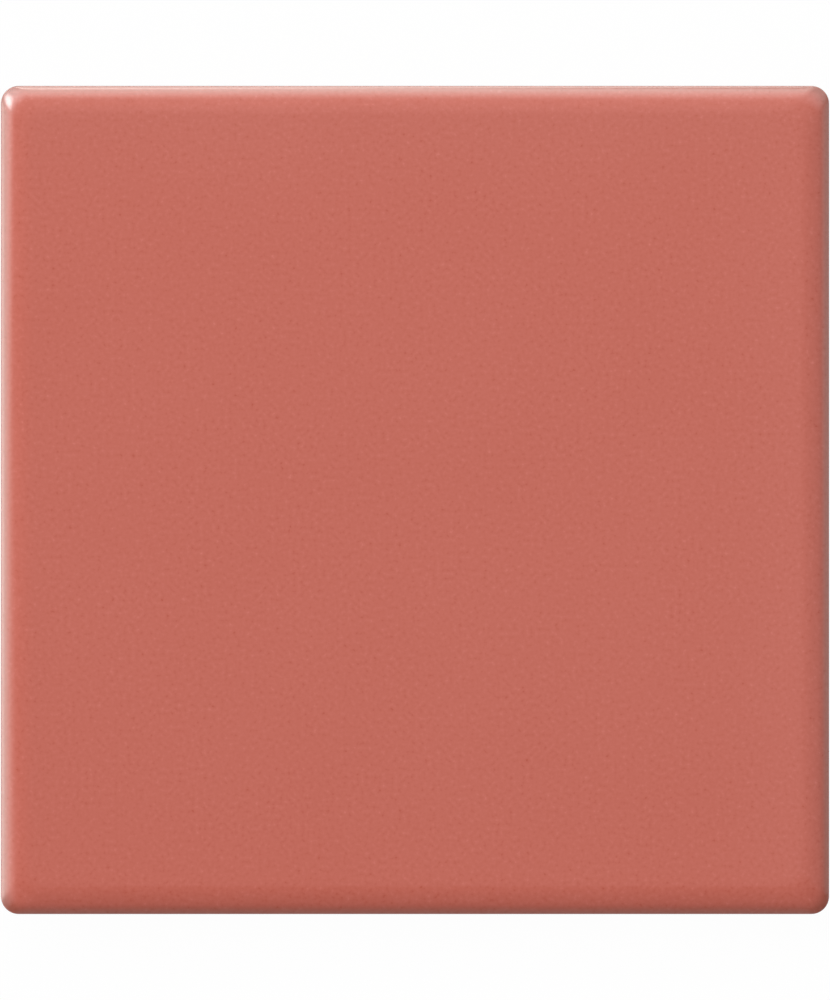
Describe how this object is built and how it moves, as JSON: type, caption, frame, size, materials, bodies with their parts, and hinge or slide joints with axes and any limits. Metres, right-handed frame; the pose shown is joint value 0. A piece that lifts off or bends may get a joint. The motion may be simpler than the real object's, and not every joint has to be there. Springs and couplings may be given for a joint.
{
  "type": "ceramic wall tile",
  "caption": "Square glazed ceramic wall tile with a gloss coral face, softly rounded edges and corners, and a shallow waffle of keying pockets on its back.",
  "frame": {"origin": "centre of the back, at the level of the ribs that the tile rests on", "axes": "+Z out of the glazed face, +X and +Y along two sides of the square"},
  "size_m": [0.098, 0.098, 0.0065],
  "materials": {
    "glaze": "gloss"
  },
  "bodies": {
    "root": {"tile": "glaze"}
  },
  "joints": []
}
